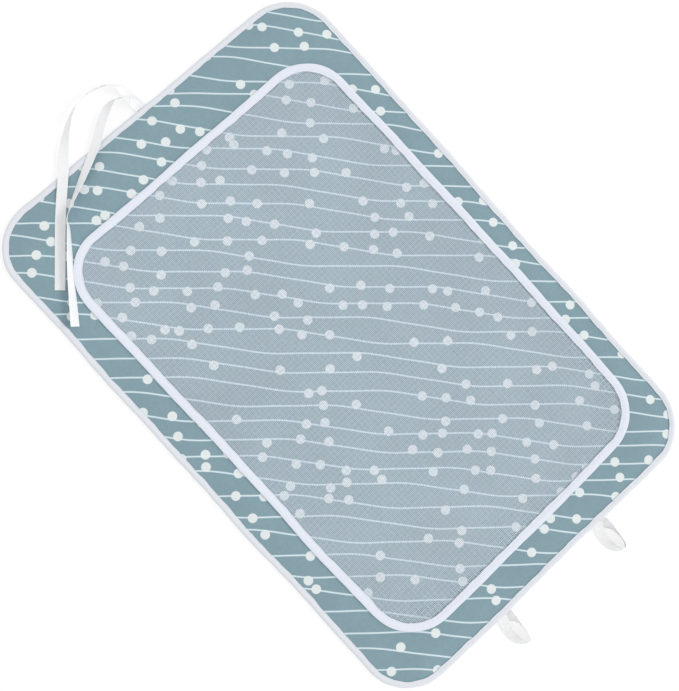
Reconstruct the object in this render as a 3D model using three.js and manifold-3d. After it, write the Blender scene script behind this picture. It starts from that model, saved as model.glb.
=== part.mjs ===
// Ironing pad with a loose net pressing cloth, two tie ribbons and two hanging loops.
// Millimetres, +Z up. The origin is the middle of the pad's underside. +X runs along the pad
// towards the hanging loops, and the tie ribbons leave the edge at -X.
import {
  BufferGeometry,
  CatmullRomCurve3,
  ExtrudeGeometry,
  Float32BufferAttribute,
  Group,
  MathUtils,
  Mesh,
  MeshStandardMaterial,
  Shape,
  Vector2,
  Vector3,
} from 'three';
import { mergeVertices } from 'three/addons/utils/BufferGeometryUtils.js';
import Module from 'manifold-3d';

// Pad
const PAD_LENGTH = 720;
const PAD_WIDTH = 480;
const PAD_CORNER_RADIUS = 60;
const PAD_TAPE_WIDTH = 7.5;
const PAD_TAPE_WALL = 0.8;
const COVER_THICKNESS = 0.4;
const WADDING_THICKNESS = 3;
const FILM_THICKNESS = 0.2;
const FOAM_THICKNESS = 1.5;
const BACKING_THICKNESS = 0.5;
const LAYER_GAP = 0.1;
const PRESSED_SHARE = 0.35; // of a soft layer's thickness that is left inside the tape
const CROWN_RUN = 20; // from the tape's edge to where the pad has its full height

// Pressing cloth
const END_BORDER = 60; // of the pad that shows past each end of a centred cloth
const SIDE_BORDER = 40;
const CLOTH_CORNER_RADIUS = 60;
const CLOTH_SHIFT_X = 13.7; // where the cloth happens to lie
const CLOTH_SHIFT_Y = 5.3;
const CLOTH_TURN = MathUtils.degToRad(0.79);
const CLOTH_TAPE_WIDTH = 10.1;
const CLOTH_TAPE_WALL = 0.7;
const NET_THICKNESS = 0.5;
const NET_COLUMNS = 16;
const NET_ROWS = 10;
const NET_STRAND = 2.5; // a bundle of threads between two gaps
const CUT_OVERRUN = 0.5; // of a cutter past each face of the sheet
const REST_GAP = 0.3; // under what lies loose on the pad

// Seams
const THREAD_DIAMETER = 0.4;
const SEAM_MARGIN = 1.8; // from the tape's inner edge to its stitching
const SEAM_CLEARANCE = 0.05;

// Ribbons
const RIBBON_WIDTH = 12;
const RIBBON_THICKNESS = 0.5;
const ROOT_GAP = 0.3; // between the tape and a ribbon that leaves it
const STEPS_PER_POINT = 8;

// Ties
const OUTER_ROOT_Y = -0.3;
const INNER_ROOT_Y = -2.6;
const TIE_ROOT_SPACING = 0.8; // between the middles of the two, the inner one on the outer one
const TIE_SPACING = 3.6; // between the two ribbons beside the cloth's corner
const TIE_CLEARANCE = 0.8; // between the cloth's corner and the nearer ribbon
const OUTER_REACH = 49.7; // how far the arch stands out past the pad's edge
const OUTER_SPAN = 115; // along the edge, from the root to where the ribbon comes back over it
const OUTER_BEARING = MathUtils.degToRad(-41.5);
const OUTER_TAIL_BEFORE = 62; // along the straight tail, before its nearest point to the corner
const OUTER_TAIL_AFTER = 21.5;
const INNER_REACH = 24.7;
const INNER_SPAN = 68;
const INNER_BEARING = MathUtils.degToRad(-38.8);
const INNER_TAIL_BEFORE = 68;
const INNER_TAIL_AFTER = 60.5;
const ARCH_RISE = 3; // of the lower edge, at the arch's middle

// Hanging loops
const LOOP_REACH = 41; // from the pad's edge to the middle of the ribbon at the tip
const LOOP_HALF_SPREAD = 8.8;
const FAR_LOOP_Y = 75.5;
const NEAR_LOOP_Y = -81.3;
const LOOP_ROOT_SPACING = 1.2; // between the two ends, one on the other

// Faceting
const CORNER_STEPS = 4; // a round corner has twice as many facets
const FOLD_STEPS = 4;
const THREAD_SIDES = 6;

// Sizes that follow from the ones above
const HARD_STACK = BACKING_THICKNESS + FILM_THICKNESS + COVER_THICKNESS;
const SOFT_STACK = FOAM_THICKNESS + WADDING_THICKNESS;
const LAYERS = [
  {
    name: 'backing_cloth',
    thickness: BACKING_THICKNESS,
    rimShare: 1,
    look: { color: 0xd3d6d8, roughness: 0.85 },
  },
  {
    name: 'foam_sheet',
    thickness: FOAM_THICKNESS,
    rimShare: PRESSED_SHARE,
    look: { color: 0xf0ead2, roughness: 0.95 },
  },
  {
    name: 'heat_barrier_film',
    thickness: FILM_THICKNESS,
    rimShare: 1,
    look: { color: 0xc9ccd1, roughness: 0.25, metalness: 1 },
  },
  {
    name: 'cotton_wadding',
    thickness: WADDING_THICKNESS,
    rimShare: PRESSED_SHARE,
    look: { color: 0xf4f3ef, roughness: 1 },
  },
  {
    name: 'printed_cover',
    thickness: COVER_THICKNESS,
    rimShare: 1,
    look: { color: 0x88a2ac, roughness: 0.8 },
  },
];
const PAD_TOP = HARD_STACK + SOFT_STACK + (LAYERS.length - 1) * LAYER_GAP;
const RIM_STACK = HARD_STACK + SOFT_STACK * PRESSED_SHARE + (LAYERS.length + 1) * LAYER_GAP;
const RIM_HEIGHT = RIM_STACK + 2 * PAD_TAPE_WALL;
const CLOTH_LENGTH = PAD_LENGTH - 2 * END_BORDER;
const CLOTH_WIDTH = PAD_WIDTH - 2 * SIDE_BORDER;
const CLOTH_HEIGHT = NET_THICKNESS + 2 * (LAYER_GAP + CLOTH_TAPE_WALL);
const PAD_EDGE_X = PAD_LENGTH / 2 + ROOT_GAP;
const HALF_RIBBON = RIBBON_WIDTH / 2;
const RIBBON_REST = PAD_TOP + REST_GAP + RIBBON_THICKNESS / 2;
const UP = new Vector3(0, 0, 1);

const wasm = await Module();
wasm.setup();

// The same body as a solid that can be cut.
function solid(geometry) {
  const bare = geometry.clone();
  bare.deleteAttribute('normal');
  bare.deleteAttribute('uv');
  const merged = mergeVertices(bare);
  const triVerts = new Uint32Array(merged.index.array);
  const body = new wasm.Mesh({ numProp: 3, vertProperties: merged.attributes.position.array, triVerts });
  return new wasm.Manifold(body);
}

function solidGeometry(body) {
  const { vertProperties, triVerts } = body.getMesh();
  const geometry = new BufferGeometry();
  geometry.setAttribute('position', new Float32BufferAttribute(vertProperties, 3));
  geometry.setIndex([...triVerts]);
  geometry.computeVertexNormals();
  return geometry;
}

function piece(name, geometry, look) {
  const mesh = new Mesh(geometry, new MeshStandardMaterial(look));
  mesh.name = name;
  return mesh;
}

// The points of a rectangle with round corners, drawn in by inset, anticlockwise from above.
function outline(length, width, radius, inset) {
  const x = length / 2 - radius;
  const y = width / 2 - radius;
  const r = radius - inset;
  const shape = new Shape();
  shape.absarc(x, -y, r, -Math.PI / 2, 0);
  shape.absarc(x, y, r, 0, Math.PI / 2);
  shape.absarc(-x, y, r, Math.PI / 2, Math.PI);
  shape.absarc(-x, -y, r, Math.PI, 1.5 * Math.PI);
  return shape.getPoints(CORNER_STEPS);
}

// A closed skin over rings with equal numbers of points. Open rows of rings get flat caps, and
// rings that wrap come back to the first one. The faces of the turned side break along the other
// diagonal.
function skin(rings, wraps, turnedSide = -1) {
  const count = rings[0].length;
  const points = rings.flat();
  const index = [];
  const spans = wraps ? rings.length : rings.length - 1;
  for (let i = 0; i < spans; i += 1) {
    const low = i * count;
    const high = ((i + 1) % rings.length) * count;
    for (let j = 0; j < count; j += 1) {
      const next = (j + 1) % count;
      if (j === turnedSide) {
        index.push(low + j, low + next, high + j, low + next, high + next, high + j);
      } else {
        index.push(low + j, low + next, high + next, low + j, high + next, high + j);
      }
    }
  }
  if (!wraps) {
    const last = (rings.length - 1) * count;
    for (let j = 1; j < count - 1; j += 1) {
      index.push(0, j + 1, j, last, last + j, last + j + 1);
    }
  }
  const geometry = new BufferGeometry();
  geometry.setAttribute('position', new Float32BufferAttribute(points.flatMap((p) => p.toArray()), 3));
  geometry.setIndex(index);
  geometry.computeVertexNormals();
  return geometry;
}

// One ring of the skin: the outline of the pad or the cloth, drawn in by inset, at a height.
function ringAt(size, inset, height) {
  return outline(size.length, size.width, size.radius, inset).map((p) => new Vector3(p.x, p.y, height));
}

const PAD_SIZE = { length: PAD_LENGTH, width: PAD_WIDTH, radius: PAD_CORNER_RADIUS };
const CLOTH_SIZE = { length: CLOTH_LENGTH, width: CLOTH_WIDTH, radius: CLOTH_CORNER_RADIUS };

// How the pad swells from the tape to its middle, as shares of the crown's run and of its rise.
const CROWN_SHARES = [
  [0, 0],
  [0.28, 0.5],
  [0.6, 0.86],
  [1, 1],
];

// A layer of the pad: thin inside the tape, full in the middle, its two faces alike in shape.
function padLayer(rimFloor, rimTop, middleFloor, middleTop) {
  const insets = CROWN_SHARES.map(([run, rise]) => [PAD_TAPE_WIDTH + LAYER_GAP + run * CROWN_RUN, rise]);
  insets.unshift([RIM_HEIGHT / 2 + LAYER_GAP, 0]);
  const face = (rim, middle) => insets.map(([inset, rise]) => {
    const height = MathUtils.lerp(rim, middle, rise);
    return ringAt(PAD_SIZE, inset, height);
  });
  return skin([...face(rimFloor, middleFloor).reverse(), ...face(rimTop, middleTop)], false);
}

function buildPadLayers() {
  let rimFloor = PAD_TAPE_WALL + LAYER_GAP;
  let middleFloor = 0;
  const meshes = [];
  for (const layer of LAYERS) {
    const rimTop = rimFloor + layer.thickness * layer.rimShare;
    const middleTop = middleFloor + layer.thickness;
    meshes.push(piece(layer.name, padLayer(rimFloor, rimTop, middleFloor, middleTop), layer.look));
    rimFloor = rimTop + LAYER_GAP;
    middleFloor = middleTop + LAYER_GAP;
  }
  return meshes;
}

// The four points of the channel that a seam presses into a tape, from its outer side inwards.
// The channel opens towards the side that direction points to.
function seamChannel(tapeWidth, surface, direction) {
  const middle = tapeWidth - SEAM_MARGIN;
  const half = THREAD_DIAMETER / 2 + SEAM_CLEARANCE;
  const floor = surface - direction * (THREAD_DIAMETER + SEAM_CLEARANCE);
  return [
    [middle - half, surface],
    [middle - half, floor],
    [middle + half, floor],
    [middle + half, surface],
  ];
}

// A tape folded round an edge: two flat legs and a round fold, as a closed section of insets and
// heights that runs outwards along the underside and back along the top.
function tape(size, tapeWidth, wall, height) {
  const fold = height / 2;
  const section = [[tapeWidth, 0]];
  section.push(...seamChannel(tapeWidth, 0, -1).reverse());
  for (let i = 0; i <= FOLD_STEPS; i += 1) {
    const angle = (i / FOLD_STEPS) * Math.PI - Math.PI / 2;
    section.push([fold - fold * Math.cos(angle), fold + fold * Math.sin(angle)]);
  }
  section.push(...seamChannel(tapeWidth, height, 1));
  section.push([tapeWidth, height], [tapeWidth, height - wall], [fold, height - wall]);
  section.push([fold, wall], [tapeWidth, wall]);
  return skin(section.map(([inset, z]) => ringAt(size, inset, z)), true);
}

// The thread that runs all round in one of a tape's two channels.
function seamThread(size, tapeWidth, surface, direction) {
  const radius = THREAD_DIAMETER / 2;
  const middle = tapeWidth - SEAM_MARGIN;
  const height = surface - direction * radius;
  const rings = [];
  for (let i = 0; i < THREAD_SIDES; i += 1) {
    const angle = (i / THREAD_SIDES) * 2 * Math.PI;
    rings.push(ringAt(size, middle - radius * Math.cos(angle), height + radius * Math.sin(angle)));
  }
  return skin(rings, true);
}

// A corner of a gap in the net, drawn in to the round of the cloth's corner where it lies past it.
function drawnIn(x, y) {
  const cornerX = CLOTH_LENGTH / 2 - CLOTH_CORNER_RADIUS;
  const cornerY = CLOTH_WIDTH / 2 - CLOTH_CORNER_RADIUS;
  const reach = CLOTH_CORNER_RADIUS - CLOTH_TAPE_WIDTH - NET_STRAND;
  const past = new Vector2(Math.max(Math.abs(x) - cornerX, 0), Math.max(Math.abs(y) - cornerY, 0));
  if (past.x === 0 || past.y === 0 || past.length() <= reach) {
    return new Vector2(x, y);
  }
  past.setLength(reach);
  return new Vector2(Math.sign(x) * (cornerX + past.x), Math.sign(y) * (cornerY + past.y));
}

// The net as a flat sheet, cut through at square gaps.
function netSheet() {
  const floor = CLOTH_TAPE_WALL + LAYER_GAP;
  const edge = CLOTH_HEIGHT / 2 + LAYER_GAP;
  const sheet = skin([floor, floor + NET_THICKNESS].map((z) => ringAt(CLOTH_SIZE, edge, z)), false);
  const halfLength = CLOTH_LENGTH / 2 - CLOTH_TAPE_WIDTH - NET_STRAND / 2;
  const halfWidth = CLOTH_WIDTH / 2 - CLOTH_TAPE_WIDTH - NET_STRAND / 2;
  const columnPitch = (2 * halfLength) / NET_COLUMNS;
  const rowPitch = (2 * halfWidth) / NET_ROWS;
  const cutterDepth = NET_THICKNESS + 2 * CUT_OVERRUN;
  const gaps = [];
  for (let column = 0; column < NET_COLUMNS; column += 1) {
    const left = -halfLength + column * columnPitch + NET_STRAND / 2;
    const right = left + columnPitch - NET_STRAND;
    for (let row = 0; row < NET_ROWS; row += 1) {
      const low = -halfWidth + row * rowPitch + NET_STRAND / 2;
      const high = low + rowPitch - NET_STRAND;
      const corners = [[left, low], [right, low], [right, high], [left, high]];
      const gap = new Shape(corners.map(([x, y]) => drawnIn(x, y)));
      const cutter = new ExtrudeGeometry(gap, { depth: cutterDepth, bevelEnabled: false });
      gaps.push(solid(cutter.translate(0, 0, floor - CUT_OVERRUN)));
    }
  }
  return solidGeometry(solid(sheet).subtract(wasm.Manifold.union(gaps)));
}

// A ribbon along a route. Each stop of the route is { x, y, edge, twist }: edge is the height of
// the ribbon's lower edge, and twist is 0 where it lies flat and a quarter turn where it stands.
// Its last side is turned, so that both broad faces break alike and it keeps its thickness.
function ribbon(route) {
  const plan = new CatmullRomCurve3(route.map((stop) => new Vector3(stop.x, stop.y, stop.edge)));
  const steps = (route.length - 1) * STEPS_PER_POINT;
  const twistAt = (t) => {
    const place = t * (route.length - 1);
    const stop = Math.min(Math.floor(place), route.length - 2);
    return MathUtils.lerp(route[stop].twist, route[stop + 1].twist, place - stop);
  };
  const middles = [];
  for (let i = 0; i <= steps; i += 1) {
    const t = i / steps;
    const middle = plan.getPoint(t);
    middle.z += HALF_RIBBON * Math.abs(Math.sin(twistAt(t)));
    middles.push(middle);
  }
  const rings = middles.map((middle, i) => {
    const ahead = middles[Math.min(i + 1, steps)];
    const behind = middles[Math.max(i - 1, 0)];
    const along = new Vector3().subVectors(ahead, behind).normalize();
    const level = new Vector3().crossVectors(UP, along).normalize();
    const raised = new Vector3().crossVectors(along, level);
    const twist = twistAt(i / steps);
    const across = level.multiplyScalar(Math.cos(twist)).addScaledVector(raised, Math.sin(twist));
    const outward = new Vector3().crossVectors(along, across);
    const corner = (side, face) => middle
      .clone()
      .addScaledVector(across, side * HALF_RIBBON)
      .addScaledVector(outward, (face * RIBBON_THICKNESS) / 2);
    return [corner(1, -1), corner(1, 1), corner(-1, 1), corner(-1, -1)];
  });
  return skin(rings, false, rings[0].length - 1);
}

// The arches go from the root out past the edge and back over it. Each row has the share of the
// reach, of the span, of the rise, and of a quarter turn. The outer tie stays flat until it is
// past the inner one, which lies on it.
const OUTER_ARCH_SHARES = [
  [0, 0, 0, 0],
  [0.11, 0, 0, 0],
  [0.31, 0.002, 0, 0.03],
  [0.49, 0.014, 0.05, 0.16],
  [0.69, 0.048, 0.3, 0.54],
  [0.857, 0.125, 0.8, 0.84],
  [0.933, 0.227, 1, 0.88],
  [0.963, 0.335, 1, 0.84],
  [0.93, 0.46, 0.9, 0.8],
  [0.84, 0.565, 0.75, 0.7],
  [0.69, 0.672, 0.55, 0.55],
  [0.495, 0.785, 0.35, 0.36],
  [0.27, 0.89, 0.15, 0.16],
  [0, 1, 0, 0.04],
];
const INNER_ARCH_SHARES = [
  [0, 0, 0, 0],
  [0.22, 0.006, 0.12, 0.08],
  [0.56, 0.05, 0.45, 0.5],
  [0.835, 0.136, 0.8, 0.86],
  [0.911, 0.253, 1, 0.66],
  [0.855, 0.41, 0.9, 0.36],
  [0.6, 0.6, 0.6, 0.25],
  [0.27, 0.785, 0.3, 0.22],
  [-0.08, 0.965, 0, 0.28],
];
const QUARTER_TURN = Math.PI / 2;

function archStops(shares, rootY, rootHeight, reach, span) {
  return shares.map(([out, along, rise, twist]) => ({
    x: -PAD_EDGE_X - reach * out,
    y: rootY - span * along,
    edge: MathUtils.lerp(rootHeight, RIBBON_REST, along) + ARCH_RISE * rise,
    twist: twist * QUARTER_TURN,
  }));
}

// The middle of the round of the cloth's corner that the ties lie beside.
function nearCorner() {
  const corner = new Vector2(CLOTH_CORNER_RADIUS - CLOTH_LENGTH / 2, CLOTH_CORNER_RADIUS - CLOTH_WIDTH / 2);
  corner.rotateAround(new Vector2(0, 0), CLOTH_TURN);
  return corner.add(new Vector2(CLOTH_SHIFT_X, CLOTH_SHIFT_Y));
}

// A stop on a straight tail that passes the cloth's corner at a distance from its middle.
function tailStop(bearing, distance, past, twist) {
  const corner = nearCorner();
  return {
    x: corner.x + distance * Math.sin(bearing) + past * Math.cos(bearing),
    y: corner.y - distance * Math.cos(bearing) + past * Math.sin(bearing),
    edge: RIBBON_REST,
    twist,
  };
}

// The inner tie turns over once between the pad's edge and the cloth's corner, so its tail leans.
// The rows have the share of the tail before the corner, or after it where positive, the share of
// a quarter turn, and how far the ribbon swerves towards the cloth.
const CORNER_LEAN_SHARE = 1.31;
const INNER_TAIL_SHARES = [
  [-1, 0.86, 0],
  [-0.76, 1.08, 0],
  [-0.4, 1.22, 0],
  [0, CORNER_LEAN_SHARE, 0],
  [0.5, 1.41, 1.2],
  [1, 1.5, 2.4],
];
const TURN_BEFORE_KNEE_SHARE = 0.3; // of the turn between the pad's edge and the tail
const LEAN_REACH = HALF_RIBBON * Math.abs(Math.cos(CORNER_LEAN_SHARE * QUARTER_TURN));
const INNER_DISTANCE = CLOTH_CORNER_RADIUS + TIE_CLEARANCE + LEAN_REACH;
const OUTER_DISTANCE = INNER_DISTANCE + LEAN_REACH + TIE_SPACING + HALF_RIBBON;

function outerTieRoute() {
  const rootHeight = (RIM_HEIGHT - TIE_ROOT_SPACING) / 2;
  return [
    ...archStops(OUTER_ARCH_SHARES, OUTER_ROOT_Y, rootHeight, OUTER_REACH, OUTER_SPAN),
    tailStop(OUTER_BEARING, OUTER_DISTANCE, -OUTER_TAIL_BEFORE, 0),
    tailStop(OUTER_BEARING, OUTER_DISTANCE, 0, 0),
    tailStop(OUTER_BEARING, OUTER_DISTANCE, OUTER_TAIL_AFTER, 0),
  ];
}

function innerTieRoute() {
  const rootHeight = (RIM_HEIGHT + TIE_ROOT_SPACING) / 2;
  const arch = archStops(INNER_ARCH_SHARES, INNER_ROOT_Y, rootHeight, INNER_REACH, INNER_SPAN);
  const tail = INNER_TAIL_SHARES.map(([share, twist, swerve]) => {
    const past = share * (share < 0 ? INNER_TAIL_BEFORE : INNER_TAIL_AFTER);
    return tailStop(INNER_BEARING, INNER_DISTANCE - swerve, past, twist * QUARTER_TURN);
  });
  const crossing = arch[arch.length - 1];
  const knee = tail[0];
  const between = {
    x: (crossing.x + knee.x) / 2,
    y: (crossing.y + knee.y) / 2,
    edge: RIBBON_REST,
    twist: MathUtils.lerp(crossing.twist, knee.twist, TURN_BEFORE_KNEE_SHARE),
  };
  return [...arch, between, ...tail];
}

// A hanging loop lies on its side: out from the upper end, round the tip and back to the lower
// end. The rows have the share of the reach, of the half spread, and of a quarter turn, and the
// share of the root's height that the lower edge keeps.
const LOOP_SHARES = [
  [0, -0.46, 0, 1],
  [0.07, -0.46, 0, 1],
  [0.22, -0.74, 0.08, 0.6],
  [0.4, -1, 0.18, 0.1],
  [0.62, -1.02, 0.3, 0],
  [0.83, -0.78, 0.52, 0],
  [0.99, -0.25, 0.7, 0],
  [1.03, 0.22, 0.78, 0],
  [0.93, 0.64, 0.86, 0],
  [0.69, 0.82, 0.94, 0],
  [0.43, 0.78, 1.08, 0.1],
  [0.22, 0.62, 1.5, 0.6],
  [0.07, 0.46, 2, 1],
  [0, 0.46, 2, 1],
];

function loopRoute(rootY) {
  const floor = RIBBON_THICKNESS / 2;
  return LOOP_SHARES.map(([out, aside, twist, kept], i) => {
    const upper = i < LOOP_SHARES.length / 2;
    const rootHeight = (RIM_HEIGHT + (upper ? LOOP_ROOT_SPACING : -LOOP_ROOT_SPACING)) / 2;
    return {
      x: PAD_EDGE_X + out * (LOOP_REACH - ROOT_GAP),
      y: rootY + aside * LOOP_HALF_SPREAD,
      edge: MathUtils.lerp(floor, rootHeight, kept),
      twist: twist * QUARTER_TURN,
    };
  });
}

function buildPad() {
  const pad = new Group();
  const thread = { color: 0xf3f3f8, roughness: 0.6 };
  const edging = tape(PAD_SIZE, PAD_TAPE_WIDTH, PAD_TAPE_WALL, RIM_HEIGHT);
  pad.add(...buildPadLayers());
  pad.add(piece('pad_binding', edging, { color: 0xe3e4ef, roughness: 0.75 }));
  pad.add(piece('pad_needle_thread', seamThread(PAD_SIZE, PAD_TAPE_WIDTH, RIM_HEIGHT, 1), thread));
  pad.add(piece('pad_bobbin_thread', seamThread(PAD_SIZE, PAD_TAPE_WIDTH, 0, -1), thread));
  return pad;
}

function buildPressingCloth() {
  const cloth = new Group();
  const thread = { color: 0xf5f5fb, roughness: 0.6 };
  const edging = tape(CLOTH_SIZE, CLOTH_TAPE_WIDTH, CLOTH_TAPE_WALL, CLOTH_HEIGHT);
  const needleThread = seamThread(CLOTH_SIZE, CLOTH_TAPE_WIDTH, CLOTH_HEIGHT, 1);
  const bobbinThread = seamThread(CLOTH_SIZE, CLOTH_TAPE_WIDTH, 0, -1);
  cloth.position.set(CLOTH_SHIFT_X, CLOTH_SHIFT_Y, PAD_TOP + REST_GAP);
  cloth.rotation.z = CLOTH_TURN;
  cloth.add(piece('cloth_net', netSheet(), { color: 0xc4ccda, roughness: 0.7 }));
  cloth.add(piece('cloth_binding', edging, { color: 0xebebf7, roughness: 0.7 }));
  cloth.add(piece('cloth_needle_thread', needleThread, thread));
  cloth.add(piece('cloth_bobbin_thread', bobbinThread, thread));
  return cloth;
}

function buildRibbons() {
  const ribbons = new Group();
  const satin = { color: 0xf0f0ee, roughness: 0.6 };
  ribbons.add(piece('outer_tie', ribbon(outerTieRoute()), satin));
  ribbons.add(piece('inner_tie', ribbon(innerTieRoute()), satin));
  ribbons.add(piece('far_hanging_loop', ribbon(loopRoute(FAR_LOOP_Y)), satin));
  ribbons.add(piece('near_hanging_loop', ribbon(loopRoute(NEAR_LOOP_Y)), satin));
  return ribbons;
}

const ironingPad = new Group();
ironingPad.add(buildPad(), buildPressingCloth(), buildRibbons());

export default ironingPad;
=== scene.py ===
# %% [markdown]
# # An ironing pad with a loose pressing cloth of net
#
# The pad is a thin padded mat: a printed cotton cover, wadding, a heat barrier film, foam and a
# backing cloth, all held together by a tape folded round the edge. On it lies a pressing cloth of
# fine net with a wide tape round it. Two long ribbons leave one short side, and two small loops
# leave the other. Everything is in metres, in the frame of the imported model.

# %% Load the frame
import math
from types import SimpleNamespace

import bpy
import numpy as np
from mathutils import Euler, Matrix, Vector


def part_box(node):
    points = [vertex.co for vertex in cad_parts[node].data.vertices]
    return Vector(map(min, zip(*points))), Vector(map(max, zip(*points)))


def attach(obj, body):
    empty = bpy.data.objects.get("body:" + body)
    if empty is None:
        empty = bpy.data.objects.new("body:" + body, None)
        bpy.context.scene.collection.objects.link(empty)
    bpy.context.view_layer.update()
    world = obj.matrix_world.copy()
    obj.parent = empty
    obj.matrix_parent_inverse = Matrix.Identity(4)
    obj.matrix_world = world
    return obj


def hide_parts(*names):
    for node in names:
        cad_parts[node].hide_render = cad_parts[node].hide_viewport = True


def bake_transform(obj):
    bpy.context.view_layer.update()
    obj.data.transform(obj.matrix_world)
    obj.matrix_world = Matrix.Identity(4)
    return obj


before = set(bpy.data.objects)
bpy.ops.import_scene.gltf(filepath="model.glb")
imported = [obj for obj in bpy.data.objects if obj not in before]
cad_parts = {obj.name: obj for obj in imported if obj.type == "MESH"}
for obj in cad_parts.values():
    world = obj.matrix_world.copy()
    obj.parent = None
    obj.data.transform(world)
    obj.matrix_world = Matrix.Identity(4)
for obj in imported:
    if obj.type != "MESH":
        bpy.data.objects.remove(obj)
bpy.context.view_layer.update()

MM = 0.001
print("nodes in the frame:", len(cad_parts))

# %% [markdown]
# ## Camera
#
# The mat is photographed from almost straight above, turned so that its long side runs down to
# the right. The lens and the place were found from the straight edges of the mat and the cloth.

# %% Camera
CAMERA_PLACE = (-0.0171, -0.1550, 1.1584)
CAMERA_TURN = (4.0527, -5.7420, 47.7774)
SENSOR = 36.0
PICTURE_HEIGHT = 691
FOCAL_PIXELS = 1000

scene = bpy.context.scene
camera_data = bpy.data.cameras.new("camera")
camera_data.sensor_width = SENSOR
camera_data.lens = FOCAL_PIXELS / PICTURE_HEIGHT * SENSOR
camera = bpy.data.objects.new("camera", camera_data)
camera.location = CAMERA_PLACE
camera.rotation_euler = Euler([math.radians(angle) for angle in CAMERA_TURN])
scene.collection.objects.link(camera)
scene.camera = camera
print("lens", round(camera_data.lens, 2), "mm")

# %% [markdown]
# ## Values that run through nodes
#
# A material is a tree of nodes, and a formula takes one Math node for each of its steps. They
# could be linked one by one, but then nobody sees the formula. So a value in a tree is wrapped as
# a signal, which is added or multiplied like a number, and every such step adds its own node.

# %% Signals


class Signal:
    """A value in a node tree: its socket, and the tree that the socket belongs to."""

    def __init__(self, socket):
        self.socket, self.tree = socket, socket.id_data

    def __add__(self, other):
        return maths("ADD", self, other)

    def __sub__(self, other):
        return maths("SUBTRACT", self, other)

    def __rsub__(self, other):
        return maths("SUBTRACT", other, self)

    def __mul__(self, other):
        return maths("MULTIPLY", self, other)

    def __truediv__(self, other):
        return maths("DIVIDE", self, other)

    def __abs__(self):
        return maths("ABSOLUTE", self)


def feed(socket, value):
    """Links a signal to the socket, or sets the socket to a plain number or colour."""
    if isinstance(value, Signal):
        value.tree.links.new(value.socket, socket)
    else:
        socket.default_value = value


def wire(tree, kind, output, inputs=None, **settings):
    """Adds a node, makes its settings, feeds its inputs and returns one of its outputs."""
    node = tree.nodes.new(kind)
    for name, value in settings.items():
        setattr(node, name, value)
    for name, value in (inputs or {}).items():
        feed(node.inputs[name], value)
    return Signal(node.outputs[output])


def maths(operation, *values, clamp=False):
    """One Math node, in the tree of the first signal among its values."""
    tree = next(value.tree for value in values if isinstance(value, Signal))
    inputs = dict(enumerate(values))
    return wire(tree, "ShaderNodeMath", 0, inputs, operation=operation, use_clamp=clamp)


def between(signal, low, high, clamp=False):
    """Low where the signal is 0, high where it is 1, and in proportion elsewhere."""
    return maths("MULTIPLY_ADD", signal, high - low, low, clamp=clamp)


def largest(first, *others):
    """The largest of several signals."""
    for other in others:
        first = maths("MAXIMUM", first, other)
    return first


def linear(red, green, blue):
    """A colour read off a picture, from 0 to 255, as the linear colour that a node takes."""
    tone = np.array([red, green, blue]) / 255
    straight = np.where(tone <= 0.04045, tone / 12.92, ((tone + 0.055) / 1.055) ** 2.4)
    return (*straight.tolist(), 1.0)


def new_material(name):
    """A material and its node tree."""
    material = bpy.data.materials.new(name)
    material.use_nodes = True
    return material, material.node_tree


def finished(material, colour, **values):
    """Feeds the material's shader; an underscore in the name of a value stands for a space."""
    shader = material.node_tree.nodes["Principled BSDF"]
    feed(shader.inputs["Base Color"], colour)
    for name, value in values.items():
        feed(shader.inputs[name.replace("_", " ")], value)
    return material


# %% [markdown]
# ## Stage and light
#
# The photograph has a pure white ground. A white floor gives that when the light that falls on
# it adds up to about one. The camera sees less than half of that light as light on the floor, and
# the rest as the floor's own white, so the mat keeps a soft and very faint shadow as in the
# picture. The world gives most of the light, from all round, and one soft sun from the right,
# about as high as it is far, gives the edges their shade.

# %% Stage and light
AMBIENT = 0.84
SUN_POWER = 1.02
SUN_FROM = Vector((0.49, 0.55, 0.68))
SUN_SPREAD = math.radians(22)
FLOOR_HALF = 6.0
FLOOR_DROP = 0.3 * MM
FLOOR_BOUNCE = 0.92
SHADE_SHARE = 0.25
WHITE = (1, 1, 1, 1)


def seen_straight(tree):
    """1 for a ray from the camera, or one that gloss or glass sends on, and 0 for all others."""
    rays = ("Is Camera Ray", "Is Glossy Ray", "Is Transmission Ray")
    return largest(*(wire(tree, "ShaderNodeLightPath", ray) for ray in rays))


scene.view_settings.view_transform = "Standard"
world = bpy.data.worlds.new("white room")
scene.world = world
world.use_nodes = True
backdrop = world.node_tree.nodes["Background"].inputs
feed(backdrop["Color"], WHITE)
feed(backdrop["Strength"], between(seen_straight(world.node_tree), AMBIENT, 1))

sun_data = bpy.data.lights.new("soft sun", "SUN")
sun_data.energy = SUN_POWER
sun_data.angle = SUN_SPREAD
sun = bpy.data.objects.new("soft sun", sun_data)
sun.rotation_euler = SUN_FROM.to_track_quat("Z", "Y").to_euler()
scene.collection.objects.link(sun)

floor_mesh = bpy.data.meshes.new("floor")
corners = [(-1, -1), (1, -1), (1, 1), (-1, 1)]
places = [(x * FLOOR_HALF, y * FLOOR_HALF, -FLOOR_DROP) for x, y in corners]
floor_mesh.from_pydata(places, [], [(0, 1, 2, 3)])
floor = bpy.data.objects.new("floor", floor_mesh)
scene.collection.objects.link(floor)
floor_material, floor_tree = new_material("white floor")
seen = seen_straight(floor_tree)
floor_mesh.materials.append(finished(
    floor_material, between(seen, FLOOR_BOUNCE, SHADE_SHARE), Roughness=1.0,
    Specular_IOR_Level=0.0, Emission_Color=WHITE, Emission_Strength=seen * (1 - SHADE_SHARE),
))
print("sun height", round(math.degrees(math.asin(SUN_FROM.normalized().z))), "degrees")

# %% [markdown]
# ## Sizes
#
# What the frame knows is read from it. The cloth lies a little turned, so its own length and
# width are given, and so is where it lies.

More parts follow.
